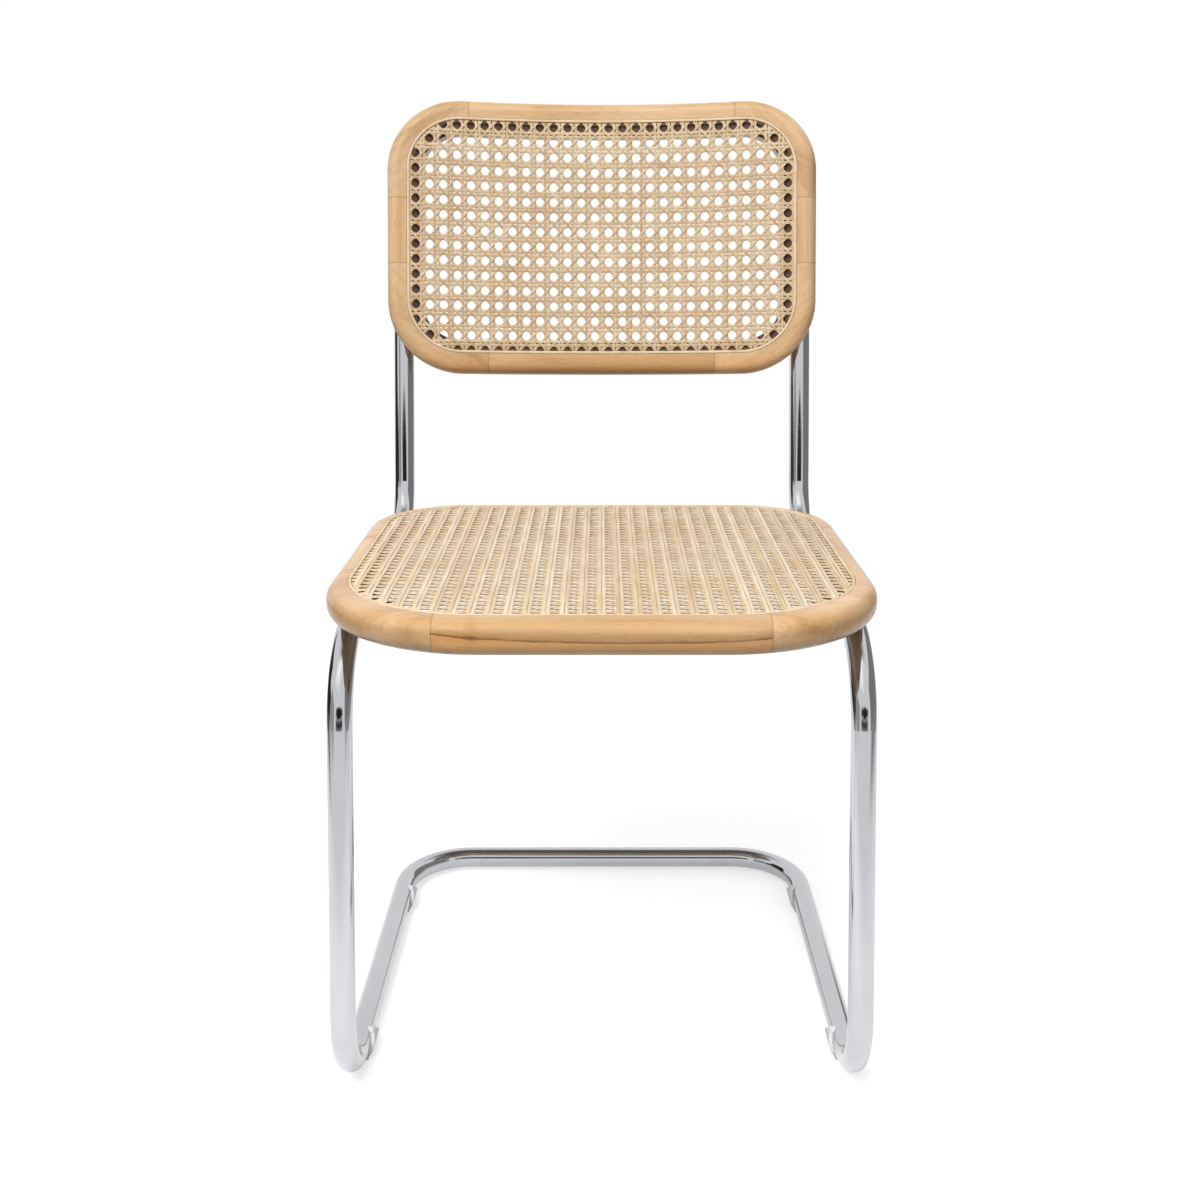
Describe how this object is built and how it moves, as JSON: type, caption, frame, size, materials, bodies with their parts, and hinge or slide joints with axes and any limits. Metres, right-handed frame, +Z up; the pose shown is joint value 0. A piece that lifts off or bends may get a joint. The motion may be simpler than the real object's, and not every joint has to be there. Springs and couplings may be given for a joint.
{
  "type": "cantilever dining chair",
  "caption": "Armless dining chair with a bent chromed tube cantilever frame, a rounded wooden seat frame and a bowed wooden backrest frame, both filled with woven cane.",
  "frame": {"origin": "on the floor, in the middle of the chair's outline", "axes": "+Z up, -Y to the chair's front, +X to the right as seen from its front"},
  "size_m": [0.482, 0.5742, 0.8693],
  "materials": {
    "chromed_tube": "polished chrome plate on steel tube",
    "beech": "clear satin lacquer on beech",
    "cane": "natural woven cane strips",
    "reed": "natural round reed",
    "clear_plastic": "translucent moulded plastic",
    "tube_plug": "moulded plastic",
    "sleeve_steel": "plain steel tube",
    "screw_steel": "zinc-plated steel",
    "dowel_beech": "plain beech dowel"
  },
  "bodies": {
    "root": {"left_side_tube": "chromed_tube", "right_side_tube": "chromed_tube", "rear_cross_tube": "chromed_tube", "left_tube_cap": "tube_plug", "right_tube_cap": "tube_plug", "left_joint_sleeve": "sleeve_steel", "right_joint_sleeve": "sleeve_steel", "front_left_glide": "clear_plastic", "front_right_glide": "clear_plastic", "rear_left_glide": "clear_plastic", "rear_right_glide": "clear_plastic", "seat_front_rail": "beech", "seat_rear_rail": "beech", "seat_left_rail": "beech", "seat_right_rail": "beech", "seat_front_left_corner": "beech", "seat_front_right_corner": "beech", "seat_rear_left_corner": "beech", "seat_rear_right_corner": "beech", "back_top_rail": "beech", "back_bottom_rail": "beech", "back_left_rail": "beech", "back_right_rail": "beech", "back_top_left_corner": "beech", "back_top_right_corner": "beech", "back_bottom_left_corner": "beech", "back_bottom_right_corner": "beech", "seat_dowels": "dowel_beech", "back_dowels": "dowel_beech", "seat_cane": "cane", "back_cane": "cane", "seat_spline": "reed", "back_spline": "reed", "seat_screws": "screw_steel", "back_screws": "screw_steel"}
  },
  "joints": []
}
